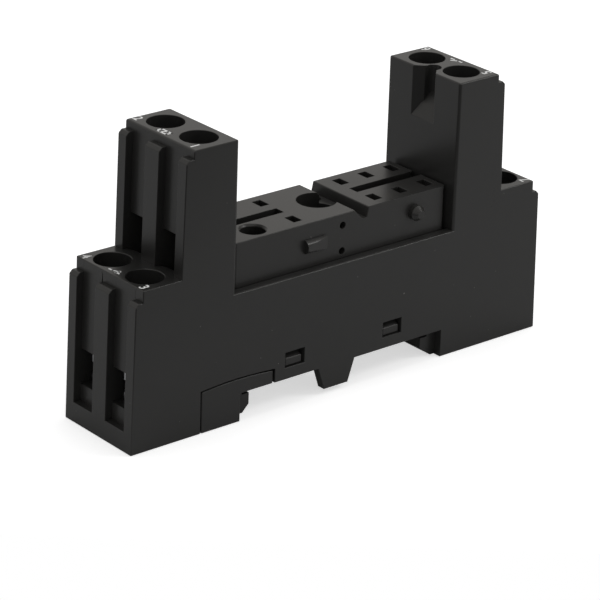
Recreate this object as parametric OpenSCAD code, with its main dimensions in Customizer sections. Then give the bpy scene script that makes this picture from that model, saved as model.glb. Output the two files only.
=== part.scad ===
// Screw-terminal socket for a plug-in relay, clipped on a 35 mm rail.
// Millimetres, +Z up. The origin is at the middle of the base.
// Front is -Y; the rail latch is at the -X end.

/* [Housing] */
// Width of the housing across the rail slot's ends
body_w = 15.8; // [15.4:0.1:18]
// Thickness of the two side walls
side_wall = 1.4; // [1.2:0.1:1.6]
// Free length between the two terminal towers
bay_l = 41.0; // [40.4:0.1:46]
// Length of a tower's top face
tower_l = 7.8; // [7.4:0.1:9]
// Length of a lower tier's top face
tier_l = 6.6; // [6.3:0.1:8]
// Height of the towers
tower_h = 43.3; // [43:0.1:48]
// Height of the lower tiers
tier_h = 24.6; // [24.2:0.1:25.4]
// Height of the side walls between the towers
ledge_h = 20.2; // [18.5:0.1:21]
// Lean of the end faces, in degrees
draft = 1.8; // [0.5:0.1:2]
// Thickness of the wall beside a tower's relay bay
inner_wall = 0.9; // [0.8:0.05:1]
// Depth of the wire guide slots in a tower's end face
tower_rib = 1.25; // [0.8:0.05:1.6]
// Depth of the wire guide slots in a tier's end face
tier_rib = 1.2; // [0.8:0.05:1.6]
// Width of a wire guide slot
guide_w = 4.4; // [4.3:0.1:4.8]
// Distance of the ribs' tops below a tower's top face
tower_rib_drop = 1.3; // [0.5:0.1:2.5]
// Distance of the ribs' tops below a tier's top face
tier_rib_drop = 1.8; // [0.5:0.1:2.5]
// Chamfer on the ribs' tops
rib_chamfer = 0.5; // [0.2:0.05:0.8]
// Height of the wire guides' floor above the base
guide_floor_h = 3.1; // [2.5:0.1:3.4]
// Thickness of the floor over the rail foot
floor_t = 1.0; // [0.8:0.1:1.2]
// Width of the retaining clip's groove in the +X tower
clip_slot_w = 2.4; // [2:0.1:2.4]
// Width of the groove's mouth
clip_mouth_w = 5.0; // [4:0.1:5]
// Depth of the groove's straight sides
clip_slot_h = 1.8; // [1.5:0.1:1.8]
// Length of the groove down from the tower's top
clip_slot_l = 7.8; // [6:0.1:8.4]

/* [Terminals] */
// Distance between the two rows of screws
screw_rows = 7.6; // [7.5:0.05:8]
// Diameter of the screwdriver wells
well_d = 5.5; // [5.1:0.1:5.5]
// Depth of the wells down to the lips over the screw heads
well_depth = 3.7; // [3:0.1:4.2]
// Thickness of the lip that keeps a screw head in
lip_t = 0.5; // [0.4:0.05:0.7]
// Diameter of the screwdriver's way through the lip
lip_d = 4.2; // [3.8:0.1:4.2]
// Height of the lower wire entries' sill above the base
sill_h = 5.7; // [5.6:0.1:6.2]
// Height of the wire entries
entry_h = 5.4; // [4.8:0.1:5.5]
// Diameter of the terminal screws' shanks
screw_d = 3.0; // [2.5:0.1:3]
// Diameter of the screw heads
head_d = 5.0; // [4.5:0.1:5.2]
// Height of the screw heads
head_h = 1.8; // [1.5:0.1:1.9]
// Clamp cage's outer width across the wire
cage_w = 5.2; // [5.1:0.1:5.2]
// Clamp cage's length along the wire
cage_l = 3.8; // [3.4:0.1:3.8]
// Thickness of the clamp cage's sides and floor
cage_t = 0.7; // [0.6:0.05:0.8]
// Height of the threaded top of the clamp cage
cage_top = 1.3; // [1:0.1:1.4]
// Lift of a clamp cage from open to fully closed
clamp_lift = 4.0; // [2.5:0.1:4.2]
// Thickness of the contact strips
strip_t = 0.7; // [0.5:0.05:0.7]
// Width of the contact strips
strip_w = 2.8; // [2.4:0.1:2.9]
// Wall left round a tier's wells where the towers' wire entries cut past them
collar_t = 1.85; // [1.2:0.05:2]
// Depth of an open cage's floor below the wire entry's sill
cage_drop = 1.2; // [0.8:0.1:1.2]
// Gap between a strip and the threaded top of an open cage
cage_slack = 0.3; // [0.2:0.05:0.4]
// Length of a strip's end that rests in the wall past its chamber
strip_seat = 0.4; // [0.2:0.05:0.5]
// Gap between the runs of an upper and a lower strip
run_gap = 1.4; // [1:0.1:1.6]
// Thickness of the blades of a strip's spring fork
blade_t = 0.35; // [0.25:0.05:0.4]
// Width of a fork
fork_w = 1.6; // [1.5:0.05:1.65]
// Narrowest gap between a fork's blades
fork_gap = 0.25; // [0.15:0.05:0.4]
// Depth of a fork's mouth down to its narrowest place
fork_mouth = 1.8; // [1.2:0.1:2.2]
// Gap between a fork and the carrier's top
fork_room = 0.3; // [0.2:0.05:0.5]
// Width of the slots in a screw's head
driver_w = 0.8; // [0.6:0.05:1]
// Depth of the slots in a screw's head
driver_h = 1.0; // [0.6:0.05:1.2]
// Length of the shorter slot in a screw's head
driver_l = 3.0; // [2.4:0.1:3.6]

/* [Contact carrier] */
// Height of the relay's seat above the base
seat_h = 27.1; // [26.8:0.1:27.6]
// Gap between the carrier's ends and the towers
carrier_end_gap = 0.5; // [0.3:0.05:1]
// Gap between the carrier and each side wall
carrier_gap = 0.15; // [0.1:0.01:0.25]
// Height of the carrier's underside above the base
carrier_base_h = 16.5; // [16.2:0.1:17]
// Thickness of the carrier's top over the contact pockets
carrier_top = 1.2; // [1:0.1:1.6]
// Distance between the two rows of relay pins
pin_rows = 7.5; // [7.3:0.1:7.8]
// Position of the coil pins along the socket
coil_x = -7.0; // [-8:0.1:-6.4]
// Position of the first contact pin along the socket
contact_x = 8.2; // [8:0.1:8.4]
// Distance between neighbouring contact pins
contact_pitch = 5.0; // [4.9:0.05:5.05]
// Length of a pin slot along the socket
pin_slot_l = 1.5; // [1.2:0.1:1.7]
// Width of a pin slot across the socket
pin_slot_w = 2.2; // [1.8:0.1:2.4]
// Width of the long slots for the relay's and the module's barriers
barrier_slot_w = 1.8; // [1.4:0.1:1.9]
// Depth of the long slots
barrier_slot_h = 5.0; // [3:0.1:6]
// Inner end of the long slot on the module's side
module_slot_x = -6.4; // [-8:0.1:-5]
// Inner end of the long slot on the contacts' side
relay_slot_x = 7.5; // [6.8:0.1:8]
// Left edge of the cross groove in the relay seat
groove_x = 2.4; // [2:0.1:2.6]
// Width of the cross groove
groove_w = 2.65; // [2.4:0.05:2.8]
// Depth of the cross groove
groove_h = 1.6; // [1:0.1:1.8]
// Lean of the cross groove's right side
groove_lean = 0.35; // [0.1:0.05:0.5]
// Setback of the cross groove's upright left side by the panel screw
groove_step = 0.3; // [0.1:0.05:0.5]
// Position of the panel screw along the socket
fixing_x = 0.45; // [0:0.05:0.8]
// Diameter of the well for the panel screw's head
fixing_head_d = 6.0; // [5.6:0.1:6.2]
// Diameter of the panel screw's clearance hole
fixing_d = 3.4; // [3.2:0.1:3.4]
// Height of the floor under the panel screw's head
fixing_floor_h = 19.0; // [18:0.1:21]
// Position of the module's locating hole along the socket
locator_x = -14.2; // [-15:0.1:-13]
// Distance of the module's locating hole from the middle plane
locator_y = 3.5; // [3.2:0.1:3.7]
// Diameter of the module's locating hole
locator_d = 3.7; // [3.4:0.1:4.4]
// Depth of the module's locating hole
locator_h = 6.0; // [3:0.1:8]
// Chamfer at the mouth of the module's locating hole
locator_chamfer = 0.3; // [0.1:0.05:0.4]
// Length of the pockets for the contact forks
pocket_l = 1.9; // [1.85:0.05:2]
// Width of the pockets for the contact forks
pocket_w = 3.2; // [3.1:0.1:3.4]
// Width of the lugs that lock the carrier in the towers
lug_w = 3.0; // [2:0.1:3.6]
// Height of the lugs
lug_h = 1.4; // [1:0.1:1.6]
// Reach of the lugs into the towers' inner walls
lug_reach = 0.8; // [0.5:0.05:0.8]
// Height of the shelves under the carrier
shelf_h = 1.6; // [1:0.1:2]
// Length of the shelves
shelf_l = 5.0; // [3:0.1:5]
// Radius of the half-round clip ramps on the carrier's sides
ramp_r = 1.05; // [0.9:0.05:1.3]
// Reach of a clip ramp's high end
ramp_rise = 1.0; // [0.6:0.05:1.05]
// Reach of a clip ramp's low end
ramp_low = 0.5; // [0.1:0.05:0.6]
// Position of a clip ramp's high end along the socket
ramp_x = -6.9; // [-8:0.1:-6]
// Length of a clip ramp
ramp_l = 3.9; // [3:0.1:4.5]
// Depth of the clip ramps' middle below the seat
ramp_drop = 3.55; // [3:0.05:4]
// Diameter of the clip's pivot pins
clip_pin_d = 2.4; // [1.6:0.1:2.5]
// Diameter of the pivot pins' tips
clip_tip_d = 1.2; // [0.8:0.1:1.4]
// Length of the pivot pins
clip_pin_l = 1.5; // [0.9:0.05:1.5]
// Length of the pivot pins' tapered part
clip_taper = 0.7; // [0.4:0.05:0.8]
// Position of the pivot pins along the socket
clip_pin_x = 14.1; // [13:0.1:15]
// Depth of the pivot pins' axis below the seat
clip_pin_drop = 2.9; // [2.5:0.1:3.5]
// Diameter of the small core holes in the carrier's sides
core_d = 1.1; // [0.8:0.1:1.3]
// Depth of the core holes
core_h = 1.5; // [0.8:0.1:1.5]
// Position of the core holes along the socket
core_x = 0.2; // [-0.5:0.1:0.8]
// Depth of the upper core hole below the seat
core_drop = 1.8; // [1.4:0.1:2]
// Distance between the two core holes
core_pitch = 4.0; // [3:0.1:4.5]

/* [Rail fixing] */
// Height of the rail seat above the base
rail_seat_h = 4.4; // [4.2:0.1:4.6]
// Width of the rail that the socket clips on
rail_w = 35.0; // [34.8:0.1:35.2]
// Distance between the inner faces of the two end feet
foot_gap = 38.5; // [38.2:0.1:39]
// Play of the rail's edge against the hooks' backs
rail_play = 0.3; // [0.1:0.05:0.4]
// Reach of each hook under the rail's edge
hook_reach = 1.3; // [0.8:0.1:1.5]
// Gap that a hook leaves for the rail's edge
lip_gap = 1.15; // [1.05:0.01:1.3]
// Thickness of the cheeks beside the hooks
cheek = 1.45; // [1.35:0.05:1.8]
// Travel of the latch from locked to released
latch_travel = 2.0; // [1.6:0.1:2]
// Length of the rail foot's base
foot_l = 7.0; // [6.8:0.1:7.4]
// Length of the rail foot's arm beyond its base
foot_arm = 5.9; // [4:0.1:6.2]
// Height of the rail foot at its ends
foot_h = 6.4; // [6.2:0.05:6.5]
// Rise of the rail foot's top in its middle
foot_crown = 0.35; // [0.1:0.05:0.5]
// Outer diameter of the latch spring
spring_d = 2.4; // [2:0.1:2.5]
// Diameter of the latch spring's wire
spring_wire = 0.35; // [0.3:0.05:0.4]
// Turns of the latch spring
spring_turns = 6; // [5:1:7]
// Thickness of the foot's wall behind the spring
rear_wall = 0.8; // [0.6:0.05:0.9]
// Height of the latch's underside above the base
latch_low = 0.2; // [0.1:0.05:0.3]
// Height of the latch's nose above the base at its tip
nose_low = 1.4; // [1:0.1:1.8]
// Height of the fixed hook above the base at its tip
hook_low = 1.65; // [1:0.05:2]
// Length of the fixed hook's foot on the base
hook_foot = 0.7; // [0.2:0.1:1]
// Depth of the grooves for the latch's tongues in the cheeks
tongue = 0.6; // [0.4:0.05:0.8]
// Thickness of the tongues
tongue_h = 1.2; // [0.8:0.1:1.4]
// Height of the tongues' underside above the base
tongue_low = 1.6; // [1:0.1:1.8]
// Distance of the tongues' ends from the foot's inner face
tongue_back = 0.9; // [0.4:0.1:1.5]
// Wall between the spring's pocket and the latch's edge in line with the foot's inner face
pocket_wall = 0.35; // [0.1:0.05:0.6]
// Width of the slot under the latch for a screwdriver
pry_w = 5.0; // [3:0.1:6]
// Length and depth of the slot under the latch
pry_l = 1.1; // [0.8:0.1:1.2]
// Diameter of the foot's pegs
peg_d = 1.6; // [1.2:0.1:1.8]
// Height of the foot's pegs
peg_h = 0.8; // [0.5:0.05:0.8]
// Distance of the foot's pegs from the middle plane
peg_y = 4.5; // [4:0.1:5]
// Distance of the foot's pegs from its end
peg_inset = 2.0; // [1.4:0.1:2.4]

/* [Bottom cover] */
// Thickness of the bottom cover
cover_t = 1.4; // [1:0.1:1.6]
// Position of the cover's end beside the fixed hook
cover_end = 15.8; // [14:0.1:16]
// Distance of the snap windows from the middle
window_x = 9.3; // [8.8:0.1:10]
// Length of a snap window
window_l = 3.6; // [3.2:0.1:4]
// Height of the snap windows' lower edges above the base
window_h = 6.2; // [6:0.1:6.6]
// Height of a snap window
window_rise = 2.4; // [2.2:0.1:2.8]
// Length of the middle tabs' root
tab_l = 6.9; // [5:0.1:8]
// Position of the middle tabs along the socket
tab_x = -1.3; // [-3:0.1:1]
// Taper of the middle tabs' ends
tab_taper = 1.2; // [0.5:0.1:2]
// Height of the middle tabs' lower edges above the base
tab_low = 0.8; // [0.4:0.1:2]
// Thickness of the cover's snap arms
arm_t = 0.8; // [0.6:0.05:0.8]
// Height of the snap arms above the cover
arm_h = 2.7; // [2.5:0.1:2.9]
// Gap between a snap arm's wedge and its window, along the socket
arm_gap = 0.6; // [0.3:0.1:0.8]
// Height of the wedges' outer faces
wedge_h = 1.1; // [0.6:0.1:1.2]
// Height of the wedges where they leave the arms
wedge_root = 1.9; // [1.5:0.1:2]
// Distance of the wedges' outer faces inside the side walls
wedge_set = 0.35; // [0.2:0.05:0.6]
// Wall of the cover's sleeve round the panel screw
sleeve_t = 0.5; // [0.4:0.05:0.6]

/* [Fits] */
// Gap between pieces that are assembled and stay put
seat_gap = 0.1; // [0.05:0.01:0.12]
// Gap round the rail foot in the housing
foot_clear = 0.2; // [0.15:0.01:0.25]
// Gap between a clamp cage and its chamber
cage_clear = 0.1; // [0.08:0.01:0.15]
// Radial clearance of a screw's shank in its cage
thread_clear = 0.05; // [0.03:0.01:0.08]
// Gap between the latch and the cheeks
latch_clear = 0.15; // [0.1:0.01:0.2]

/* [Hidden] */
POLES = ["a1", "a2", "12", "22", "14", "24", "11", "21"];

cut = 1;
eps = 0.01;
round_fn = 48;
crown_steps = 6;
black = [0.13, 0.13, 0.13];
zinc = [0.75, 0.76, 0.78];
copper_alloy = [0.82, 0.68, 0.42];
spring_steel = [0.6, 0.61, 0.62];

lean = tan(draft);
bay = bay_l / 2;
half_w = body_w / 2;
inner_y = half_w - side_wall;

// End faces at the base: each leans in by lean for a unit of height.
tower_face = bay + tower_l + tower_h * lean;
tower_out = tower_face + tower_rib;
tier_face = tower_out + tier_l;
base_out = tier_face + tier_rib;

// Screw axes and the two levels of wire entries.
row_y = screw_rows / 2;
tower_x = bay + tower_l / 2;
tier_x = tower_out - tier_h * lean + tier_l / 2;
chamber_w = cage_w + 2 * cage_clear;
chamber_l = cage_l + 2 * cage_clear;
web = screw_rows - chamber_w;
collar_r = well_d / 2 + collar_t;

// Heights in a terminal, counted from its entry's sill.
chamber_floor = -cage_drop - cage_clear;
strip_z = entry_h + seat_gap;
strip_top = strip_z + strip_t;
head_z = tier_h - well_depth - lip_t - head_h - seat_gap - sill_h;
well_z = head_z + head_h + seat_gap + lip_t;
cage_roof = strip_top + cage_slack;

// Heights of the strips' runs to the carrier, and the upper strips' way down.
low_run = sill_h + strip_z;
high_run = low_run + strip_t + run_gap;
drop_x = bay + inner_wall + seat_gap;

// Rail fixing.
foot_in = foot_gap / 2;
foot_back = -foot_in - foot_l;
arm_end = -foot_in + foot_arm;
foot_slot_back = foot_back - foot_clear;
foot_slot_end = arm_end + 2 * foot_clear;
floor_z = foot_h + foot_crown + foot_clear + floor_t;
rail_edge = (rail_w + rail_play) / 2;
nose_x = rail_edge - hook_reach;
nose_top = rail_seat_h - lip_gap;
hook_y = half_w - cheek;
latch_back = foot_back + rear_wall + latch_travel + latch_clear;
latch_y = hook_y - latch_clear;
tongue_z = [tongue_low, tongue_low + tongue_h];
tongue_end = -foot_in - tongue_back;
spring_z = (latch_low + rail_seat_h) / 2;
pocket_end = -foot_in - pocket_wall;
peg_x = foot_back + peg_inset;

// Contact carrier.
carrier_y = inner_y - carrier_gap;
carrier_x = bay - carrier_end_gap;
pin_y = pin_rows / 2;
lug_y = lug_w / 2;
lug_z = carrier_base_h + 0.5;
shelf_rest = 0.6;

// Bottom cover.
cover_y = inner_y - seat_gap;
cover_top = rail_seat_h + cover_t;

function front_pole(p) = p == "a1" || p == "12" || p == "14" || p == "11";
function upper_pole(p) = p == "a1" || p == "a2" || p == "14" || p == "24";
function left_pole(p) = p == "a1" || p == "a2" || p == "12" || p == "22";
function pole_x(p) = upper_pole(p) ? tower_x : tier_x;
function pole_sill(p) = upper_pole(p) ? tier_h : sill_h;
// Where a pole's pin stands, counted away from its own terminal's end.
function pin_reach(p) = p == "a1" || p == "a2" ? coil_x
  : left_pole(p) ? contact_x
  : upper_pole(p) ? contact_x + 2 * contact_pitch : contact_x + contact_pitch;
function pin_x(p) = left_pole(p) ? -pin_reach(p) : pin_reach(p);

// A box given by its low and high corners.
module span_box(low, high) {
  translate(low) cube(high - low);
}

// A solid with its side outline in X and Z, from y0 to y1.
module side_plate(y0, y1) {
  translate([0, y1, 0]) rotate([90, 0, 0]) linear_extrude(height = y1 - y0) children();
}

module both_ends() {
  children();
  mirror([1, 0, 0]) children();
}

module both_sides() {
  children();
  mirror([0, 1, 0]) children();
}

// Puts a piece of the +X, -Y terminal in a pole's own place.
module at_pole(p) {
  mirror([left_pole(p) ? 1 : 0, 0, 0]) mirror([0, front_pole(p) ? 0 : 1, 0])
    translate([0, -row_y, 0]) children();
}

// ---- Housing ----

// Upper corner of a leaning end face, cut by a chamfer where there is one.
function face_top(foot, top, chamfer) = chamfer == 0
  ? [[foot - top * lean, top]]
  : [[foot - (top - chamfer) * lean, top - chamfer], [foot - top * lean - chamfer, top]];

// One end of the side outline.
module end_outline(tower_foot, tier_foot, tower_top, tier_top, chamfer) {
  polygon(concat(
    [[0, 0], [tier_foot, 0]],
    face_top(tier_foot, tier_top, chamfer),
    [[tower_foot - tier_top * lean, tier_top]],
    face_top(tower_foot, tower_top, chamfer),
    [[bay, tower_top], [bay, ledge_h], [0, ledge_h]]));
}

// Wire guides: the space between the ribs, outside one end's plain faces.
module wire_guides() {
  side_plate(-row_y - guide_w / 2, -row_y + guide_w / 2) {
    polygon([
      [tier_face - guide_floor_h * lean, guide_floor_h],
      [base_out + cut, guide_floor_h],
      [base_out + cut, tier_h],
      [tier_face - tier_h * lean, tier_h]]);
    polygon([
      [tower_face - tier_h * lean, tier_h],
      [tower_out + cut, tier_h],
      [tower_out + cut, tower_h],
      [tower_face - tower_h * lean, tower_h]]);
  }
}

// Outline of the rail foot's side, grown by gap, with more room at the arm's end.
module foot_outline(gap, low) {
  polygon(concat(
    [[foot_back - gap, low], [foot_back - gap, foot_h + gap]],
    [for (i = [1:crown_steps - 1]) let (way = i / crown_steps)
      [foot_back + way * (arm_end - foot_back), foot_h + 4 * foot_crown * way * (1 - way) + gap]],
    [[arm_end + 2 * gap, foot_h + gap],
     [arm_end + 2 * gap, rail_seat_h],
     [-foot_in, rail_seat_h],
     [-foot_in, low]]));
}

// Everything that the side view cuts away below: the rail slot and the foot's place.
module underside_cut() {
  side_plate(-half_w - cut, half_w + cut) {
    foot_outline(foot_clear, -cut);
    polygon([
      [-foot_in - eps, -cut],
      [-foot_in - eps, rail_seat_h],
      [foot_in, rail_seat_h],
      [foot_in, -cut]]);
  }
}

// Tab that reaches down into the rail from a side wall.
module middle_tab() {
  side_plate(-half_w, -inner_y) polygon([
    [tab_x - tab_l / 2, rail_seat_h],
    [tab_x - tab_l / 2 + tab_taper, tab_low],
    [tab_x + tab_l / 2 - tab_taper, tab_low],
    [tab_x + tab_l / 2, rail_seat_h]]);
}

// Fixed hook under the rail's edge, set back between the end foot's cheeks.
module fixed_hook() {
  side_plate(-hook_y, hook_y) polygon([
    [foot_in, 0],
    [foot_in - hook_foot, 0],
    [nose_x, hook_low],
    [nose_x, nose_top],
    [rail_edge, nose_top],
    [rail_edge, rail_seat_h],
    [foot_in, rail_seat_h]]);
}

// Room for one terminal's cage and screw head, and the screwdriver's well above.
module terminal_chamber(top) {
  translate([-chamber_l / 2, -chamber_w / 2, chamber_floor])
    cube([chamber_l, chamber_w, head_z - seat_gap - chamber_floor]);
  translate([0, 0, head_z - 2 * seat_gap])
    cylinder(d = head_d + 4 * seat_gap, h = head_h + 3 * seat_gap, $fn = round_fn);
  translate([0, 0, head_z]) cylinder(d = lip_d, h = well_z - head_z + eps, $fn = round_fn);
  translate([0, 0, well_z]) cylinder(d = well_d, h = top - well_z + cut, $fn = round_fn);
}

// Terminals' rooms of one end and side, with their wire entries.
module terminal_rooms() {
  translate([0, -row_y, 0]) {
    translate([tier_x, 0, sill_h]) terminal_chamber(tier_h - sill_h);
    span_box([tier_x, -guide_w / 2, sill_h], [base_out + cut, guide_w / 2, sill_h + entry_h]);
    translate([tower_x, 0, tier_h]) terminal_chamber(tower_h - tier_h);
    difference() {
      span_box([tower_x, -guide_w / 2, tier_h + chamber_floor],
        [tower_out + cut, guide_w / 2, tier_h + entry_h]);
      translate([tier_x, 0, 0]) cylinder(r = collar_r, h = tier_h, $fn = round_fn);
    }
  }
}

// Ways for one end's and side's contact strips, from the chambers to the middle well.
module strip_ways() {
  way = strip_w / 2 + seat_gap;
  translate([0, -row_y, 0]) {
    span_box([tower_x, -way, low_run - seat_gap],
      [tier_x + chamber_l / 2 + strip_seat, way, low_run + strip_t + seat_gap]);
    span_box([drop_x - seat_gap, -way, floor_z],
      [tower_x - chamber_l / 2 + eps, way, tier_h + strip_top + seat_gap]);
    span_box([drop_x - seat_gap, -way, tier_h + strip_z - seat_gap],
      [tower_x + chamber_l / 2 + strip_seat, way, tier_h + strip_top + seat_gap]);
  }
}

// Slot for the retaining clip between the +X tower's wells, with a scooped foot.
module clip_groove() {
  mouth = clip_mouth_w / 2;
  slot = clip_slot_w / 2;
  foot = tower_h - clip_slot_l;
  back = clip_slot_h + slot;
  intersection() {
    translate([0, 0, foot - cut]) linear_extrude(height = tower_h - foot + 2 * cut) {
      polygon([
        [bay - cut, -mouth],
        [bay, -mouth],
        [bay + mouth - slot, -slot],
        [bay + clip_slot_h, -slot],
        [bay + clip_slot_h, slot],
        [bay + mouth - slot, slot],
        [bay, mouth],
        [bay - cut, mouth]]);
      translate([bay + clip_slot_h, 0]) circle(r = slot, $fn = round_fn);
    }
    side_plate(-mouth - cut, mouth + cut) polygon([
      [bay - cut, foot],
      [bay, foot],
      [bay + back / 3, foot + clip_slot_l / 4],
      [bay + back * 2 / 3, foot + clip_slot_l * 0.4],
      [bay + back, foot + clip_slot_l / 2],
      [bay + back, tower_h + cut],
      [bay - cut, tower_h + cut]]);
  }
}

// Hollow under one tower, open to the middle well below the tower's inner wall.
module under_tower() {
  back = tier_x - chamber_l / 2 - 1;
  top = tier_h - 2.2;
  difference() {
    span_box([bay - cut, -inner_y, floor_z], [back, inner_y, top]);
    span_box([bay - cut / 2, -inner_y - cut, high_run + strip_t + 1.2],
      [bay + inner_wall, inner_y + cut, top + cut]);
    span_box([bay + inner_wall + 2, -web / 2, 0], [back + cut, web / 2, top + cut]);
  }
}

module housing() {
  color(black) difference() {
    union() {
      difference() {
        union() {
          both_ends() side_plate(-half_w, half_w) {
            end_outline(tower_face, tier_face, tower_h, tier_h, 0);
            end_outline(tower_out, base_out, tower_h - tower_rib_drop, tier_h - tier_rib_drop,
              rib_chamfer);
          }
        }
        both_ends() both_sides() wire_guides();
        underside_cut();
        // Middle well, open at the top, and its way down to the bottom cover.
        span_box([-bay, -inner_y, floor_z], [bay, inner_y, tower_h + cut]);
        span_box([foot_slot_end + 1, -inner_y, rail_seat_h - cut],
          [cover_end - 1, inner_y, floor_z + cut]);
        span_box([foot_slot_end - eps, -inner_y, rail_seat_h - cut],
          [cover_end + seat_gap, inner_y, cover_top + seat_gap]);
      }
      // Shelves under the contact carrier.
      both_ends() both_sides() span_box(
        [carrier_x - 1 - shelf_l, -inner_y - eps, carrier_base_h - shelf_h],
        [carrier_x - 1, shelf_rest - carrier_y, carrier_base_h]);
      both_sides() middle_tab();
      fixed_hook();
    }
    both_ends() {
      under_tower();
      both_sides() terminal_rooms();
      both_sides() strip_ways();
      // Pockets for the carrier's snap lugs.
      span_box([bay - cut, -lug_y - seat_gap, lug_z - seat_gap],
        [bay + inner_wall + cut, lug_y + seat_gap, lug_z + lug_h + seat_gap]);
    }
    clip_groove();
    // Snap windows for the bottom cover.
    for (x = [-window_x, window_x])
      span_box([x - window_l / 2, -half_w - cut, window_h],
        [x + window_l / 2, half_w + cut, window_h + window_rise]);
    both_sides() translate([peg_x, -peg_y, foot_h])
      cylinder(d = peg_d + 2 * seat_gap, h = peg_h + foot_crown + seat_gap, $fn = round_fn);
  }
}

// ---- Contact carrier ----

// Pocket for one contact fork and its slot for the relay's pin.
module pin_pocket() {
  translate([-pocket_l / 2, -pocket_w / 2, carrier_base_h - cut])
    cube([pocket_l, pocket_w, seat_h - carrier_top - carrier_base_h + cut]);
  translate([-pin_slot_l / 2, -pin_slot_w / 2, carrier_base_h])
    cube([pin_slot_l, pin_slot_w, seat_h - carrier_base_h + cut]);
}

// Half-round ramp on the carrier's side that spreads a retaining clip.
module clip_ramp() {
  intersection() {
    translate([ramp_x, ramp_r - ramp_rise - carrier_y, seat_h - ramp_drop]) rotate([0, 90, 0])
      cylinder(r = ramp_r, h = ramp_l, $fn = round_fn);
    linear_extrude(height = seat_h) polygon([
      [ramp_x, -carrier_y - ramp_rise],
      [ramp_x + ramp_l, -carrier_y - ramp_low],
      [ramp_x + ramp_l, eps - carrier_y],
      [ramp_x, eps - carrier_y]]);
  }
}

// Pivot pin for the retaining clip, with a tapered tip.
module clip_pin() {
  plain = clip_pin_l - clip_taper;
  translate([clip_pin_x, eps - carrier_y, seat_h - clip_pin_drop]) rotate([90, 0, 0]) {
    cylinder(d = clip_pin_d, h = plain, $fn = round_fn);
    translate([0, 0, plain - eps])
      cylinder(d1 = clip_pin_d, d2 = clip_tip_d, h = clip_taper, $fn = round_fn);
  }
}

// Snap lug that locks the carrier's end into the tower's inner wall.
module snap_lug() {
  side_plate(-lug_y, lug_y) polygon([
    [carrier_x - eps, lug_z],
    [bay + 0.1, lug_z],
    [bay + lug_reach, lug_z + lug_h - 0.5],
    [bay + lug_reach, lug_z + lug_h],
    [carrier_x - eps, lug_z + lug_h]]);
}

module contact_carrier() {
  color(black) difference() {
    union() {
      span_box([-carrier_x, -carrier_y, carrier_base_h], [carrier_x, carrier_y, seat_h]);
      both_ends() snap_lug();
      both_sides() clip_ramp();
      both_sides() clip_pin();
    }
    both_sides() for (x = [coil_x, for (i = [0:2]) contact_x + i * contact_pitch])
      translate([x, -pin_y, 0]) pin_pocket();
    // Long slots for the module's and the relay's barriers, open at the carrier's ends.
    span_box([-carrier_x - cut, -barrier_slot_w / 2, seat_h - barrier_slot_h],
      [module_slot_x, barrier_slot_w / 2, seat_h + cut]);
    span_box([relay_slot_x, -barrier_slot_w / 2, seat_h - barrier_slot_h],
      [carrier_x + cut, barrier_slot_w / 2, seat_h + cut]);
    // Cross groove with a sloping left side and a steep right side.
    side_plate(-half_w, half_w) polygon([
      [groove_x - cut, seat_h + cut],
      [groove_x + groove_h, seat_h - groove_h],
      [groove_x + groove_w - groove_lean, seat_h - groove_h],
      [groove_x + groove_w, seat_h],
      [groove_x + groove_w, seat_h + cut]]);
    span_box([groove_x + groove_step, -fixing_head_d / 2, seat_h - groove_h],
      [groove_x + groove_h, fixing_head_d / 2, seat_h]);
    // Panel screw: head well and clearance hole.
    translate([fixing_x, 0, fixing_floor_h])
      cylinder(d = fixing_head_d, h = seat_h - fixing_floor_h + cut, $fn = round_fn);
    translate([fixing_x, 0, carrier_base_h - cut])
      cylinder(d = fixing_d, h = fixing_floor_h - carrier_base_h + 2 * cut, $fn = round_fn);
    // Locating hole for a plug-in module, with a chamfered mouth.
    translate([locator_x, -locator_y, seat_h - locator_h])
      cylinder(d = locator_d, h = locator_h + cut, $fn = round_fn);
    translate([locator_x, -locator_y, seat_h - locator_chamfer])
      cylinder(d1 = locator_d, d2 = locator_d + 2 * (locator_chamfer + eps),
        h = locator_chamfer + eps, $fn = round_fn);
    // Small core holes in the sides.
    for (drop = [core_drop, core_drop + core_pitch])
      translate([core_x, 0, seat_h - drop]) rotate([90, 0, 0]) core_holes();
  }
}

// Two small blind holes on one axis, one in each side face.
module core_holes() {
  for (end = [-carrier_y - cut, carrier_y - core_h])
    translate([0, 0, end]) cylinder(d = core_d, h = core_h + cut, $fn = round_fn);
}

// ---- Bottom cover ----

// Arm on the cover's edge with a wedge that snaps into a window.
module snap_arm() {
  arm_l = window_l - arm_gap;
  wedge = window_h + seat_gap;
  translate([-arm_l / 2, -cover_y, cover_top - eps]) cube([arm_l, arm_t, arm_h]);
  translate([-arm_l / 2, 0, 0]) rotate([90, 0, 90]) linear_extrude(height = arm_l) polygon([
    [eps - cover_y, wedge],
    [wedge_set - half_w, wedge],
    [wedge_set - half_w, wedge + wedge_h],
    [eps - cover_y, wedge + wedge_root]]);
}

module bottom_cover() {
  left = foot_slot_end + seat_gap;
  sleeve_d = fixing_d + 2 * sleeve_t;
  color(black) difference() {
    union() {
      span_box([left, -cover_y, rail_seat_h], [cover_end, cover_y, cover_top]);
      both_sides() for (x = [-window_x, window_x]) translate([x, 0, 0]) snap_arm();
      translate([fixing_x, 0, rail_seat_h])
        cylinder(d = sleeve_d, h = carrier_base_h - seat_gap - rail_seat_h, $fn = round_fn);
    }
    translate([fixing_x, 0, 0]) cylinder(d = fixing_d, h = carrier_base_h, $fn = round_fn);
  }
}

// ---- Rail fixing ----

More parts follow.
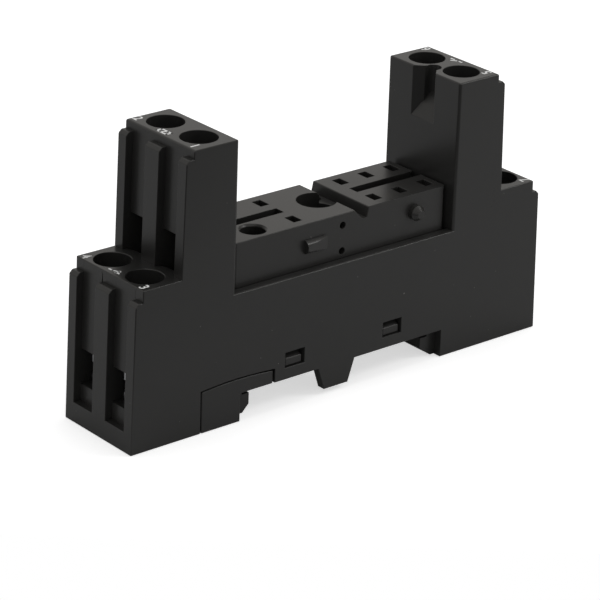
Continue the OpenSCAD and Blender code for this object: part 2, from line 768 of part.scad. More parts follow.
module rail_foot() {
  color(black) difference() {
    union() {
      side_plate(-half_w, half_w) foot_outline(0, 0);
      both_sides() translate([peg_x, -peg_y, foot_h - eps])
        cylinder(d = peg_d, h = peg_h + foot_crown, $fn = round_fn);
    }
    // Room for the latch between the cheeks, open below and towards the rail.
    span_box([foot_back + rear_wall, -hook_y, -cut], [-foot_in + cut, hook_y, rail_seat_h]);
    // Grooves in the cheeks that carry the latch's tongues.
    both_sides() span_box(
      [foot_back + rear_wall, -hook_y - tongue - seat_gap, tongue_z[0] - seat_gap],
      [tongue_end + seat_gap, eps - hook_y, tongue_z[1] + seat_gap]);
  }
}

module rail_latch() {
  pry_x = pocket_end + 0.5;
  color(black) difference() {
    union() {
      side_plate(-latch_y, latch_y) polygon([
        [latch_back, latch_low],
        [latch_back, rail_seat_h - latch_clear],
        [-rail_edge, rail_seat_h - latch_clear],
        [-rail_edge, nose_top],
        [-nose_x, nose_top],
        [-nose_x, nose_low],
        [-nose_x - nose_low + latch_low, latch_low]]);
      both_sides() span_box([latch_back, -hook_y - tongue + latch_clear, tongue_z[0]],
        [tongue_end, eps - latch_y, tongue_z[1]]);
    }
    translate([latch_back - cut, 0, spring_z]) rotate([0, 90, 0])
      cylinder(d = spring_d + 2 * latch_clear, h = pocket_end - latch_back + cut, $fn = round_fn);
    // Slot under the latch for the tip of a screwdriver.
    span_box([pry_x, -pry_w / 2, latch_low - cut], [pry_x + pry_l, pry_w / 2, latch_low + pry_l]);
  }
}

// Compression spring, drawn as a round wire swept along a helix from the foot into the latch.
module latch_spring() {
  steps = 12;
  sides = 8;
  start = foot_back + rear_wall + spring_wire / 2;
  end = pocket_end - spring_wire / 2;
  radius = (spring_d - spring_wire) / 2;
  rings = spring_turns * steps;
  points = [for (i = [0:rings]) let (a = 360 * i / steps, x = start + (end - start) * i / rings)
    for (j = [0:sides - 1]) let (b = 360 * j / sides, r = radius + spring_wire / 2 * cos(b))
      [x + spring_wire / 2 * sin(b), r * cos(a), spring_z + r * sin(a)]];
  walls = [for (i = [0:rings - 1]) for (j = [0:sides - 1]) let (k = (j + 1) % sides)
    [i * sides + j, i * sides + k, (i + 1) * sides + k, (i + 1) * sides + j]];
  color(spring_steel) polyhedron(points, concat(
    walls,
    [[for (j = [sides - 1:-1:0]) j], [for (j = [0:sides - 1]) rings * sides + j]]));
}

// ---- Terminals ----

// Screw with a crossed recess; its tip stands on the contact strip.
module terminal_screw(p) {
  slot_floor = head_z + head_h - driver_h;
  color(zinc) at_pole(p) translate([pole_x(p), 0, pole_sill(p)]) difference() {
    union() {
      translate([0, 0, strip_top]) cylinder(d = screw_d, h = head_z - strip_top, $fn = round_fn);
      translate([0, 0, head_z]) cylinder(d = head_d, h = head_h, $fn = round_fn);
    }
    translate([-head_d / 2, -driver_w / 2, slot_floor]) cube([head_d, driver_w, driver_h + cut]);
    translate([-driver_w / 2, -driver_l / 2, slot_floor]) cube([driver_w, driver_l, driver_h + cut]);
  }
}

// Box clamp that rides on its screw and lifts the wire against the contact strip.
module clamp_cage(p) {
  top_z = cage_roof + cage_top;
  color(zinc) at_pole(p) translate([pole_x(p), 0, pole_sill(p)]) difference() {
    span_box([-cage_l / 2, -cage_w / 2, -cage_drop], [cage_l / 2, cage_w / 2, top_z]);
    span_box([-cage_l, cage_t - cage_w / 2, cage_t - cage_drop],
      [cage_l, cage_w / 2 - cage_t, cage_roof]);
    translate([0, 0, cage_roof - cut])
      cylinder(d = screw_d + 2 * thread_clear, h = cage_top + 2 * cut, $fn = round_fn);
  }
}

// Spring fork at a strip's end: two blades that meet on the relay's pin.
module fork_outline(x, foot, top) {
  root = foot + fork_mouth / 2;
  neck = [fork_gap / 2, top - fork_mouth];
  lip = [fork_w / 2 - blade_t, top];
  half = [
    [strip_t / 2, foot],
    [fork_w / 2, root],
    neck + [blade_t, 0],
    lip + [blade_t, 0],
    lip,
    neck,
    [fork_w / 2 - blade_t, root + blade_t],
    [0, foot + blade_t]];
  polygon(concat(
    [for (point = half) [x + point[0], point[1]]],
    [for (i = [len(half) - 2:-1:0]) [x - half[i][0], half[i][1]]]));
}

// Flat strip bent from the clamp to the relay's pin, standing on edge in X and Z.
module contact_strip(p) {
  upper = upper_pole(p);
  run = upper ? high_run : low_run;
  start = upper ? drop_x : tier_x + chamber_l / 2 + strip_seat - seat_gap;
  fork_foot = carrier_base_h + 1.5;
  x = pin_x(p);
  color(copper_alloy) at_pole(p) side_plate(-strip_w / 2, strip_w / 2) {
    translate([x - strip_t / 2, run]) square([start - x + strip_t / 2, strip_t]);
    translate([x - strip_t / 2, run]) square([strip_t, fork_foot - run + eps]);
    fork_outline(x, fork_foot, seat_h - carrier_top - fork_room);
    if (upper) {
      translate([drop_x - eps, run]) square([strip_t, tier_h + strip_top - run]);
      translate([drop_x - eps, tier_h + strip_z])
        square([tower_x + chamber_l / 2 + strip_seat - seat_gap - drop_x, strip_t]);
    }
  }
}

housing();
contact_carrier();
bottom_cover();
rail_foot();
rail_latch();
latch_spring();
for (p = POLES) {
  terminal_screw(p);
  clamp_cage(p);
  contact_strip(p);
}
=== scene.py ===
import math

import bmesh
import bpy
import numpy as np
from mathutils import Matrix, Vector


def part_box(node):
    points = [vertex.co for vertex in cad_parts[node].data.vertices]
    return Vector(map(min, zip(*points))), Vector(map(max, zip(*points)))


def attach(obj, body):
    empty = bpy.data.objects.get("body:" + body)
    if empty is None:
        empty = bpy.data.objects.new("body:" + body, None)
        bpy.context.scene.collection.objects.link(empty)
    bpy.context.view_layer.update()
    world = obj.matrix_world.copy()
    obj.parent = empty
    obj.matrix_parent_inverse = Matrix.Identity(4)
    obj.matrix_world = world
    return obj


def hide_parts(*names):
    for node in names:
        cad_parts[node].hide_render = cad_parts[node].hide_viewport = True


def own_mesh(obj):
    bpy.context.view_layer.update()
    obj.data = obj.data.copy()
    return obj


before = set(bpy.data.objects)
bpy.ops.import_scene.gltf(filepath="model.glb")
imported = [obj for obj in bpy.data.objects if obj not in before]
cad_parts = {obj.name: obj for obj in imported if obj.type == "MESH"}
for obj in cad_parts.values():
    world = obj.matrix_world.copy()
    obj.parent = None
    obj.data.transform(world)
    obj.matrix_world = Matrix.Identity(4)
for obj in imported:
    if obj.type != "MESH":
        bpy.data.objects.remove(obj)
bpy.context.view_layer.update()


# ---- Housing ----
# One injection moulding of black glass-filled polyamide: two towers, two
# lower tiers, the side walls and the rail feet. The mould leaves a small
# radius on every outer edge and a fine spark-eroded grain on every face.

MM = 0.001
TOWER_TOP, TIER_TOP, LEDGE_TOP, TOWER_RIB_TOP, TIER_RIB_TOP = (
    level * MM for level in (43.3, 24.6, 20.2, 42.0, 22.8))
TOP_FACES = np.array((TOWER_TOP, TIER_TOP, LEDGE_TOP, TOWER_RIB_TOP, TIER_RIB_TOP))
HOUSING_SIDE = 7.9 * MM
TOWER_INNER_FACE = 20.5 * MM
END_FACES_PAST = 26 * MM
PRINT_RECESS = 0.02 * MM
NEAR = 0.01 * MM

SHARP_EDGE, FLAT_EDGE, SMOOTH_SPREAD = (math.radians(angle) for angle in (25, 5, 32))
UPWARD, STRAIGHT, SLANTED, ALONG = 0.6, 0.99, 0.5, 0.9


class Shade:
    """A socket of a shader tree. Its operators add Math nodes, and node() adds any other."""

    def __init__(self, tree, socket=None):
        self.tree, self.socket = tree, socket

    def node(self, kind, settings, inputs, out=0):
        """A node of any kind: its settings first, then the values or links of its sockets."""
        made = self.tree.nodes.new(kind)
        for name, value in settings.items():
            setattr(made, name, value)
        for key, value in inputs.items():
            if isinstance(value, Shade):
                self.tree.links.new(value.socket, made.inputs[key])
            else:
                made.inputs[key].default_value = value
        return Shade(self.tree, made.outputs[out])

    def math(self, operation, first, second):
        """A Math node on two values."""
        return self.node("ShaderNodeMath", {"operation": operation}, {0: first, 1: second})

    def __add__(self, other):
        return self.math("ADD", self, other)

    def __mul__(self, other):
        return self.math("MULTIPLY", self, other)

    __radd__ = __add__
    __rmul__ = __mul__

    def step(self, edge, width):
        """0 below edge and 1 above it, eased over width."""
        return self.node("ShaderNodeMapRange", {"interpolation_type": "SMOOTHSTEP"}, {
            "Value": self, "From Min": edge - width / 2, "From Max": edge + width / 2,
            "To Min": 0.0, "To Max": 1.0})

    def blend(self, low, high):
        """The colour between low and high, by this factor.

        The Mix node's colour sockets go by number, since its other kinds share their names."""
        return self.node("ShaderNodeMix", {"data_type": "RGBA"}, {0: self, 6: low, 7: high}, 2)

    def noise(self, size, detail, roughness=0.5):
        """Cloudy noise about one half at this place, with blotches of size metres."""
        return self.node("ShaderNodeTexNoise", {}, {
            "Vector": self, "Scale": 1 / size, "Detail": detail, "Roughness": roughness})

    def bump(self, strength, depth):
        """The normal of a relief depth metres high, with this as its height."""
        return self.node("ShaderNodeBump", {}, {
            "Strength": strength, "Distance": depth, "Height": self})

    def feed(self, shader, socket):
        """Links this to a shader's socket."""
        self.tree.links.new(self.socket, shader.inputs[socket])


def finish_named(name, **constants):
    """A new material, its Principled shader and the place on the piece, in metres."""
    material = bpy.data.materials.new(name)
    material.use_nodes = True
    shader = material.node_tree.nodes["Principled BSDF"]
    for socket, value in constants.items():
        shader.inputs[socket.replace("_", " ")].default_value = value
    place = Shade(material.node_tree).node("ShaderNodeTexCoord", {}, {}, "Object")
    return material, shader, place


def moulded_plastic(name, dark, light, roughness):
    """Satin black polyamide: faint flow marks, spark-eroded grain and a few pale specks."""
    material, shader, place = finish_named(name, IOR=1.378)
    flow = place.noise(11 * MM, 3.0)
    grain = place.noise(0.14 * MM, 3.0, 0.6)
    speck = place.noise(0.55 * MM, 1.0).step(0.825, 0.02)
    colour = flow.blend((*dark, 1), (*light, 1))
    (speck * 0.5).blend(colour, (0.22, 0.21, 0.2, 1)).feed(shader, "Base Color")
    unevenness = 0.1
    (grain * unevenness + flow * unevenness + (roughness - unevenness)).feed(
        shader, "Roughness")
    grain.bump(0.25, 0.015 * MM).feed(shader, "Normal")
    return material


def whole_faces(node_name):
    """A CAD node's mesh with its loose triangles merged and its flat faces made whole."""
    mesh = bmesh.new()
    mesh.from_mesh(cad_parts[node_name].data)
    bmesh.ops.remove_doubles(mesh, verts=mesh.verts, dist=0.0005 * MM)
    bmesh.ops.dissolve_limit(mesh, angle_limit=math.radians(0.4), verts=mesh.verts,
                             edges=mesh.edges)
    return mesh


def room_beside(edge):
    """The shortest edge that leaves this one's ends at a slant, which limits its radius."""
    along = (edge.verts[1].co - edge.verts[0].co).normalized()
    room = edge.calc_length()
    for corner in edge.verts:
        for other in corner.link_edges:
            if other is edge or other.calc_face_angle(0.0) < FLAT_EDGE:
                continue
            way = (other.verts[1].co - other.verts[0].co).normalized()
            if abs(way.dot(along)) < ALONG:
                room = min(room, other.calc_length())
    return room


def even_normals(data, spread):
    """Corner normals that keep flat faces flat and turn smoothly over a rounding.

    Each corner takes the faces round its vertex that lie within the spread of its own face:
    n = sum(area^2 n_face), so that a large face outweighs the small ones beside it. A tiny
    share of its own face is added, for a corner whose faces have no area."""
    corner_vertex = np.empty(len(data.loops), dtype=int)
    data.loops.foreach_get("vertex_index", corner_vertex)
    sizes, areas = np.empty(len(data.polygons), dtype=int), np.empty(len(data.polygons))
    ways = np.empty(len(data.polygons) * 3)
    data.polygons.foreach_get("loop_total", sizes)
    data.polygons.foreach_get("area", areas)
    data.polygons.foreach_get("normal", ways)
    ways, areas = ways.reshape(-1, 3), areas / MM ** 2
    face = np.repeat(np.arange(len(sizes)), sizes)
    order = np.argsort(corner_vertex, kind="stable")
    count = np.bincount(corner_vertex, minlength=len(data.vertices))
    start = np.concatenate([[0], np.cumsum(count)[:-1]])
    tiny = 1e-18
    total = ways[face] * tiny
    for turn in range(count.max()):
        here = np.flatnonzero(turn < count[corner_vertex])
        other = face[order[start[corner_vertex[here]] + turn]]
        near = (ways[face[here]] * ways[other]).sum(1) > math.cos(spread)
        total[here] += (near * areas[other] ** 2)[:, None] * ways[other]
    total /= np.linalg.norm(total, axis=1)[:, None] + tiny ** 2
    data.normals_split_custom_set(total)


def rounded_copy(node_name, body, material, radius_of, adjust=None):
    """A copy of a CAD node that stands for it, with its outer corners rounded.

    adjust(mesh) changes its shape first. radius_of(edge) is the radius wanted there, and a
    third of the room beside the edge is the most it gets. The bevel's weight on an edge is
    its radius over the largest one."""
    mesh = whole_faces(node_name)
    if adjust:
        adjust(mesh)
    weight = mesh.edges.layers.float.new("bevel_weight_edge")
    radii = {edge: min(radius_of(edge), room_beside(edge) / 3) for edge in mesh.edges
             if edge.is_convex and edge.calc_face_angle(0.0) > SHARP_EDGE}
    largest = max(radii.values())
    for edge, radius in radii.items():
        edge[weight] = radius / largest
    data = bpy.data.meshes.new(node_name + "_sharp")
    mesh.to_mesh(data)
    mesh.free()
    piece = bpy.data.objects.new(node_name + "_finished", data)
    bpy.context.collection.objects.link(piece)
    rounding = piece.modifiers.new("rounding", "BEVEL")
    rounding.limit_method = "WEIGHT"
    rounding.width = largest
    rounding.segments = 3
    rounding.use_clamp_overlap = False
    rounded = piece.evaluated_get(bpy.context.evaluated_depsgraph_get())
    piece.data = bpy.data.meshes.new_from_object(rounded)
    piece.modifiers.clear()
    piece.data.materials.clear()
    piece.data.materials.append(material)
    even_normals(piece.data, SMOOTH_SPREAD)
    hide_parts(node_name)
    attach(piece, body)
    return piece


def on_housing_skin(face):
    """Whether a face of the housing is on its outside, where light and hands reach."""
    place, way = face.calc_center_median(), face.normal
    if way.z > UPWARD:
        return np.abs(TOP_FACES - place.z).min() < 0.3 * MM
    if abs(way.y) > STRAIGHT:
        return abs(abs(place.y) - HOUSING_SIDE) < NEAR
    if way.x * place.x < 0:
        return abs(abs(place.x) - TOWER_INNER_FACE) < NEAR and place.z > LEDGE_TOP
    if abs(way.x) > SLANTED:
        return abs(place.x) > END_FACES_PAST
    return way.z < -STRAIGHT and place.z < NEAR


def housing_radius(edge):
    """Full radii between two outer faces, a broken edge where a hole meets one."""
    outside = sum(on_housing_skin(face) for face in edge.link_faces)
    if outside == 0:
        return 0.0
    if outside == 1:
        return 0.08 * MM
    near, far = (corner.co for corner in edge.verts)
    upright = abs(near.z - far.z) > ALONG * edge.calc_length()
    if upright and abs(abs(near.x) - TOWER_INNER_FACE) < NEAR:
        return 0.6 * MM
    if abs(near.z - far.z) < NEAR and abs(near.z - TOWER_TOP) < PRINT_RECESS + NEAR:
        return 0.3 * MM
    return 0.16 * MM


def sink_tops(mesh):
    """Lowers the towers' top faces, so that the print on them stays within the height."""
    for corner in mesh.verts:
        if corner.co.z > TOWER_TOP - PRINT_RECESS:
            corner.co.z -= PRINT_RECESS


housing_black = moulded_plastic("housing_black", (0.0195, 0.0193, 0.0185),
                                (0.0235, 0.0232, 0.0222), 0.31)
rounded_copy("housing", "socket", housing_black, housing_radius,
             sink_tops)


# ---- Contact carrier ----
# A second black moulding that drops in between the towers and snaps under
# them. The relay's pins go through its slots into the contacts' forks.

CARRIER_ENDS_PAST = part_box("contact_carrier")[1][0] - 2 * MM
CARRIER_SIDE = 6.35 * MM
RAMP_SIDE = 6.4 * MM
RAMP_END = -2.5 * MM


def carrier_radius(edge):
    """Round upright ends, broken outer edges, and a fine break round slots and holes.

    The clip's ramps stay sharp, since their edges run out at a slant."""
    near, far = (corner.co for corner in edge.verts)
    if max(near.x, far.x) < RAMP_END and max(abs(near.y), abs(far.y)) > RAMP_SIDE:
        return 0.0
    upright, across = abs(near.z - far.z) > 5 * MM, abs(near.y - far.y) > 10 * MM
    if upright and min(abs(near.x), abs(far.x)) > CARRIER_ENDS_PAST:
        return 0.8 * MM
    if across or min(abs(near.y), abs(far.y)) > CARRIER_SIDE - 2 * NEAR:
        return 0.14 * MM
    return 0.06 * MM


carrier_black = moulded_plastic("carrier_black", (0.0195, 0.0191, 0.0182),
                                (0.0235, 0.0229, 0.0218), 0.32)
rounded_copy("contact_carrier", "socket", carrier_black, carrier_radius)


# ---- Bottom cover ----
# A flat moulded cover that snaps in from below. Its four wedges show in the
# windows of the side walls, and its sleeve carries the panel screw.

rounded_copy("bottom_cover", "socket", housing_black,
             lambda edge: 0.12 * MM)


# ---- Rail foot and latch ----
# The foot is a separate L-shaped moulding pegged to the housing. The latch
# slides in it, and hooks under the rail's edge with its nose.

foot_black = moulded_plastic("foot_black", (0.0185, 0.0183, 0.0178),
                             (0.022, 0.0218, 0.0211), 0.34)
rounded_copy("rail_foot", "socket", foot_black, lambda edge: 0.15 * MM)
rounded_copy("rail_latch", "latch", foot_black, lambda edge: 0.15 * MM)


# ---- Latch spring ----
# A compression spring of drawn steel wire between the foot's wall and the latch's pocket. In the
# socket it shortens as the latch is pulled back; this wound copy keeps one length and rides on
# the socket's body.

def piece_from(name, points, faces, material, body):
    """A mesh piece that rides on a body, in the slot's finish."""
    data = bpy.data.meshes.new(name)
    data.from_pydata(points.reshape(-1, 3).tolist(), [], faces)
    data.shade_smooth()
    data.materials.append(material)
    piece = bpy.data.objects.new(name, data)
    bpy.context.collection.objects.link(piece)
    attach(piece, body)
    return piece


def coil_spring(low, high, turns, wire, ease=0.7, steps=28, sides=12):
    """Points and faces of a wire swept along a helix about X that fills the box low to high.

    The advance slows by the share ease towards the ends, so that the end turns lie close:
    angle = 2 pi t turns, x = start + run * (t - ease * sin(2 pi t) / (2 pi))."""
    count = int(turns * steps)
    t = np.linspace(0, 1, count + 1)[:, None]
    turn = 2 * np.pi * np.arange(sides) / sides
    radius = (high[2] - low[2] - wire) / 2
    start, run = low[0] + wire / 2, high[0] - low[0] - wire
    angle = 2 * np.pi * turns * t
    advance = start + run * (t - ease * np.sin(2 * np.pi * t) / (2 * np.pi))
    reach = radius + wire / 2 * np.cos(turn)
    points = np.stack([
        advance + wire / 2 * np.sin(turn),
        (low[1] + high[1]) / 2 + reach * np.cos(angle),
        (low[2] + high[2]) / 2 + reach * np.sin(angle)], axis=-1)
    ring, side = np.meshgrid(np.arange(count), np.arange(sides), indexing="ij")
    here, beside = ring * sides + side, ring * sides + (side + 1) % sides
    walls = np.stack([here, beside, beside + sides, here + sides], axis=-1).reshape(-1, 4)
    ends = [list(range(sides))[::-1], [count * sides + side for side in range(sides)]]
    return points, walls.tolist() + ends


spring_steel, shader, place = finish_named("spring_steel", Metallic=1.0)
place.noise(0.6 * MM, 2.0).blend((0.5, 0.5, 0.51, 1), (0.62, 0.63, 0.64, 1)).feed(
    shader, "Base Color")
(place.noise(0.2 * MM, 2.0) * 0.15 + 0.22).feed(shader, "Roughness")
spring_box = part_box("latch_spring")
points, faces = coil_spring(*spring_box, turns=6, wire=0.35 * MM)
spring = piece_from("latch_spring_wound", points, faces, spring_steel, "socket")
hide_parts("latch_spring")
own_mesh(spring)


# ---- Contact strips ----
# Eight strips of tinned copper alloy, bent from the clamps to the forks that
# grip the relay's pins. They stay inside the housing and the carrier.

POLES = ("a1", "a2", "12", "22", "14", "24", "11", "21")

tinned_strip, shader, place = finish_named("tinned_strip", Metallic=1.0)
place.noise(2 * MM, 3.0).blend((0.66, 0.58, 0.42, 1), (0.74, 0.68, 0.54, 1)).feed(
    shader, "Base Color")
(place.noise(0.3 * MM, 2.0) * 0.2 + 0.25).feed(shader, "Roughness")
for pole in POLES:
    rounded_copy("contact_strip_" + pole, "socket", tinned_strip,
                 lambda edge: 0.08 * MM)


# ---- Clamp cages ----
# Eight cages of zinc-plated steel strip. Each climbs on its screw's thread
# and lifts the wire against the contact strip. Its sides are cut in at the wire.

WAIST_DEPTH = 0.95 * MM
WAIST_LEVELS = np.array((2.2, 2.5, 3.9, 4.1)) * MM


def cut_waist(mesh):
    """Moves the sides' upright edges inwards between the two middle levels over the floor."""
    places = np.array([corner.co for corner in mesh.verts])
    low, high = places.min(0), places.max(0)
    levels = low[2] + WAIST_LEVELS
    for level in levels:
        parts = mesh.verts[:] + mesh.edges[:] + mesh.faces[:]
        bmesh.ops.bisect_plane(mesh, geom=parts, plane_co=(0, 0, level), plane_no=(0, 0, 1))
    middle = (low[0] + high[0]) / 2
    for corner in mesh.verts:
        inside = levels[1] - NEAR < corner.co.z < levels[2] + NEAR
        if inside and abs(corner.co.x - middle) > (high[0] - low[0]) / 2 - NEAR:
            corner.co.x -= math.copysign(WAIST_DEPTH, corner.co.x - middle)


# The cages' zinc is a darker grey than the screws' zinc. This is painted shade for the dark wire
# entries the cages sit in.
zinc_cage_painted_shade, shader, place = finish_named("zinc_cage_painted_shade", Metallic=1.0)
place.noise(1.5 * MM, 3.0).blend((0.42, 0.43, 0.44, 1), (0.56, 0.57, 0.58, 1)).feed(
    shader, "Base Color")
(place.noise(0.25 * MM, 3.0) * 0.2 + 0.25).feed(shader, "Roughness")
for pole in POLES:
    rounded_copy("clamp_cage_" + pole, "clamp_" + pole, zinc_cage_painted_shade,
                 lambda edge: 0.22 * MM, cut_waist)


# ---- Terminal screws ----
# Eight zinc-plated screws with crossed slots, kept under the lips of their
# wells. They turn in place.

zinc_screw, shader, place = finish_named("zinc_screw", Metallic=1.0)
place.noise(1.2 * MM, 3.0).blend((0.6, 0.61, 0.63, 1), (0.74, 0.75, 0.76, 1)).feed(
    shader, "Base Color")
(place.noise(0.2 * MM, 3.0) * 0.25 + 0.2).feed(shader, "Roughness")
for pole in POLES:
    rounded_copy("terminal_screw_" + pole, "screw_" + pole, zinc_screw,
                 lambda edge: 0.15 * MM)


# ---- Terminal marks ----
# Plain numbers for the terminals, with the signs of a coil and of a contact
# between them, pad-printed in white beside the wells.

PRINT_HALF = PRINT_RECESS / 4

print_white, shader, place = finish_named("print_white", Roughness=0.6)
inked = place.noise(0.25 * MM, 3.0).step(0.3, 0.2)
inked.blend((0.45, 0.45, 0.45, 1), (0.85, 0.85, 0.84, 1)).feed(shader, "Base Color")


def flat_print(name, data, place, way):
    """Print laid flat at place with its reading direction along way, as a mesh of its own."""
    drawn = bpy.data.objects.new(name + "_drawn", data)
    mesh = bpy.data.meshes.new_from_object(drawn)
    bpy.data.objects.remove(drawn)
    along = Vector((0, way, 0))
    across = Vector((0, 0, 1)).cross(along)
    turn = Matrix((along, across, (0, 0, 1))).transposed().to_4x4()
    mesh.transform(Matrix.Translation(place) @ turn)
    mesh.materials.clear()
    mesh.materials.append(print_white)
    piece = bpy.data.objects.new(name, mesh)
    bpy.context.collection.objects.link(piece)
    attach(piece, "socket")
    return piece


def figure(text, height):
    """A number as filled outlines, centred, with figures of this height."""
    figure_share, boldness = 0.7, 0.02
    data = bpy.data.curves.new("figure", "FONT")
    data.body = text
    data.size = height / figure_share
    data.align_x = "CENTER"
    data.align_y = "CENTER"
    data.extrude = PRINT_HALF
    data.offset = boldness * height
    return data


def bars(strokes, width):
    """A sign of straight strokes, each (x0, y0, x1, y1), as flat bars, all in millimetres.

    A bar's corners lie half a width past the ends of its stroke and half a width to either
    side of it, at two levels."""
    ends = np.array(strokes).reshape(-1, 2, 2)
    run = ends[:, 1] - ends[:, 0]
    tip = run * width / 2 / np.linalg.norm(run, axis=1)[:, None]
    side = np.stack([-tip[:, 1], tip[:, 0]], axis=1)
    outline = np.stack([ends[:, 0] - tip - side, ends[:, 1] + tip - side,
                        ends[:, 1] + tip + side, ends[:, 0] - tip + side], axis=1)
    points = np.empty((len(strokes), 2, 4, 3))
    points[..., :2] = outline[:, None] * MM
    points[..., 2] = np.array(((-PRINT_HALF,), (PRINT_HALF,)))
    walls = np.array(((3, 2, 1, 0), (4, 5, 6, 7), (0, 1, 5, 4), (1, 2, 6, 5), (2, 3, 7, 6),
                      (3, 0, 4, 7)))
    faces = (walls + 8 * np.arange(len(strokes))[:, None, None]).reshape(-1, 4)
    data = bpy.data.meshes.new("bars")
    data.from_pydata(points.reshape(-1, 3).tolist(), [], faces.tolist())
    return data


COIL_SIGN = ((-1.1, -0.45, 1.1, -0.45), (-1.1, 0.45, 1.1, 0.45), (-1.1, -0.45, -1.1, 0.45),
             (1.1, -0.45, 1.1, 0.45), (-0.35, -0.45, 0.35, 0.45))
CLOSED_SIGN = ((-1.1, 0, -0.4, 0), (-0.4, 0, 0.65, 0.55), (0.5, -0.1, 0.5, 0.6), (0.5, 0, 1.1, 0))
OPEN_SIGN = ((-1.1, 0, -0.4, 0), (-0.4, 0, 0.45, 0.6), (0.5, 0, 1.1, 0))
COMMON_SIGN = ((-1.1, 0, 1.1, 0), (0, 0, 0, 0.5))

FIGURE_HEIGHT = 1.5 * MM
STROKE = 0.3
tower_top = TOWER_TOP - PRINT_RECESS
for name, drawn, x, y, top, way in (
        ("2", figure("2", FIGURE_HEIGHT), -26.9, 7.0, tower_top, -1),
        ("coil", bars(COIL_SIGN, STROKE), -27.1, 0.6, tower_top, -1),
        ("1", figure("1", FIGURE_HEIGHT), -27.1, -6.3, tower_top, -1),
        ("4", figure("4", FIGURE_HEIGHT), -35.9, 6.8, TIER_TOP, -1),
        ("closed", bars(CLOSED_SIGN, STROKE), -35.8, 0.2, TIER_TOP, -1),
        ("3", figure("3", FIGURE_HEIGHT), -35.8, -6.7, TIER_TOP, -1),
        ("5", figure("5", FIGURE_HEIGHT), 27.2, -6.3, tower_top, 1),
        ("open", bars(OPEN_SIGN, STROKE), 27.2, 0.4, tower_top, 1),
        ("6", figure("6", FIGURE_HEIGHT), 27.1, 7.0, tower_top, 1),
        ("7", figure("7", FIGURE_HEIGHT), 35.9, -6.8, TIER_TOP, 1),
        ("common", bars(COMMON_SIGN, STROKE), 35.9, 0.2, TIER_TOP, 1),
        ("8", figure("8", FIGURE_HEIGHT), 35.9, 6.8, TIER_TOP, 1)):
    flat_print("mark_" + name, drawn, Vector((x * MM, y * MM, top + PRINT_HALF)), way)


# ---- Stage ----
# A white table in a white room, lit by one soft lamp overhead and one from
# the front right. The table lies a hair below the socket, and ends a little
# in front of it.

VIEW_AZIMUTH = math.radians(-40.154)
TABLE_EDGE, TABLE_REACH, TABLE_LEVEL = 55 * MM, 3.0, -0.03 * MM
HORIZON, HORIZON_BLUR = -0.03, 0.06


def grey(level):
    """A neutral grey, where 1 is white."""
    return (level, level, level, 1)


def soft_lamp(name, radiance, width, depth, place, aim=(0, 0, 0.02)):
    """A rectangular lamp of this radiance, in white's units, that faces aim."""
    data = bpy.data.lights.new(name, "AREA")
    data.shape, data.size, data.size_y = "RECTANGLE", width, depth
    data.energy = radiance * width * depth * math.pi
    made = bpy.data.objects.new(name, data)
    bpy.context.collection.objects.link(made)
    turn = (Vector(aim) - Vector(place)).to_track_quat("-Z", "Y").to_matrix().to_4x4()
    made.matrix_world = Matrix.Translation(place) @ turn


soft_lamp("overhead_lamp", radiance=4.8, width=0.24, depth=0.16, place=(0.02, 0.02, 0.6))
soft_lamp("front_right_lamp", radiance=7.6, width=0.177, depth=0.143, place=(0.38, -0.28, 0.42))

towards = Vector((math.sin(VIEW_AZIMUTH), -math.cos(VIEW_AZIMUTH), 0))
sideways = Vector((-towards.y, towards.x, 0))
corners = [Vector((0, 0, TABLE_LEVEL)) + towards * near + sideways * side for near, side in (
    (TABLE_EDGE, -TABLE_REACH), (TABLE_EDGE, TABLE_REACH),
    (-TABLE_REACH, TABLE_REACH), (-TABLE_REACH, -TABLE_REACH))]
table_data = bpy.data.meshes.new("table")
table_data.from_pydata(corners, [], [(0, 1, 2, 3)])
table = bpy.data.objects.new("table", table_data)
bpy.context.collection.objects.link(table)
table_white, shader, place = finish_named("table_white", Roughness=0.8)
shader.inputs["Emission Strength"].default_value = 1.0
place.noise(60 * MM, 2.0).blend(grey(0.78), grey(0.8)).feed(shader, "Base Color")
seen = place.node("ShaderNodeLightPath", {}, {}, "Is Camera Ray")
seen.blend(grey(0), grey(0.6)).feed(shader, "Emission Color")
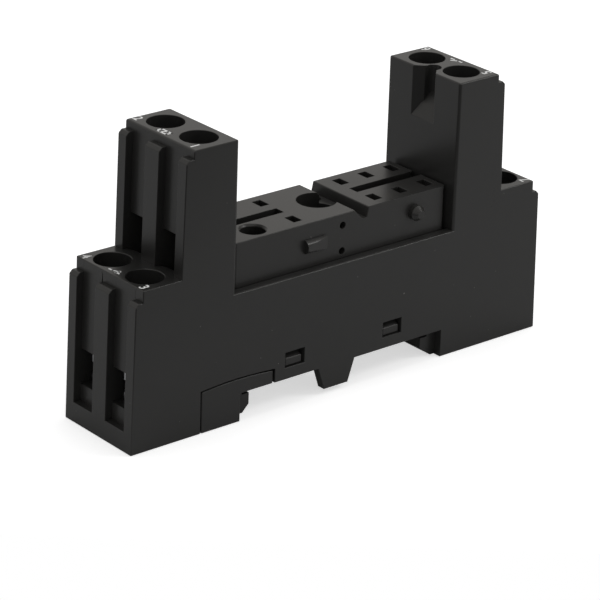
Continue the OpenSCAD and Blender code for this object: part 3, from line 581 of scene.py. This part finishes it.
table_data.materials.append(table_white)

room = bpy.data.worlds.new("room")
bpy.context.scene.world = room
room.use_nodes = True
background = room.node_tree.nodes["Background"]
outlook = Shade(room.node_tree).node("ShaderNodeTexCoord", {}, {}, "Generated")
height = outlook.node("ShaderNodeSeparateXYZ", {}, {"Vector": outlook}, "Z")
walls = height.step(HORIZON, HORIZON_BLUR).blend(grey(0.05), (0.765, 0.745, 0.715, 1))
mirrored = outlook.node("ShaderNodeLightPath", {}, {}, "Is Glossy Ray")
seen = outlook.node("ShaderNodeLightPath", {}, {}, "Is Camera Ray")
seen.blend(mirrored.blend(grey(0.48), walls), grey(1)).feed(background, "Color")
background.inputs["Strength"].default_value = 1.0
bpy.context.scene.view_settings.view_transform = "Standard"


# ---- Camera ----
# A long lens, to the left of the front and a little above. The distances are
# in millimetres, from the point in the middle that it is turned about.

VIEW_ELEVATION, VIEW_ROLL = math.radians(23.2547), math.radians(1.8555)
VIEW_CENTRE = Vector((0.38, 0.0, 22.0))
VIEW_DISTANCE, VIEW_LEFT, VIEW_DOWN = 438.16, 2.1805, 9.8451

back = Vector((math.sin(VIEW_AZIMUTH) * math.cos(VIEW_ELEVATION),
               -math.cos(VIEW_AZIMUTH) * math.cos(VIEW_ELEVATION), math.sin(VIEW_ELEVATION)))
level = Vector((math.cos(VIEW_AZIMUTH), math.sin(VIEW_AZIMUTH), 0))
tall = back.cross(level)
right = math.cos(VIEW_ROLL) * level + math.sin(VIEW_ROLL) * tall
up = math.cos(VIEW_ROLL) * tall - math.sin(VIEW_ROLL) * level
stand = (VIEW_CENTRE + back * VIEW_DISTANCE - right * VIEW_LEFT - up * VIEW_DOWN) * MM
camera_data = bpy.data.cameras.new("camera")
camera_data.sensor_width = 36.0
camera_data.lens = 179.72
camera_data.clip_start = 0.01
camera = bpy.data.objects.new("camera", camera_data)
bpy.context.collection.objects.link(camera)
camera.matrix_world = Matrix.Translation(stand) @ Matrix((right, up, back)).transposed().to_4x4()
bpy.context.scene.camera = camera
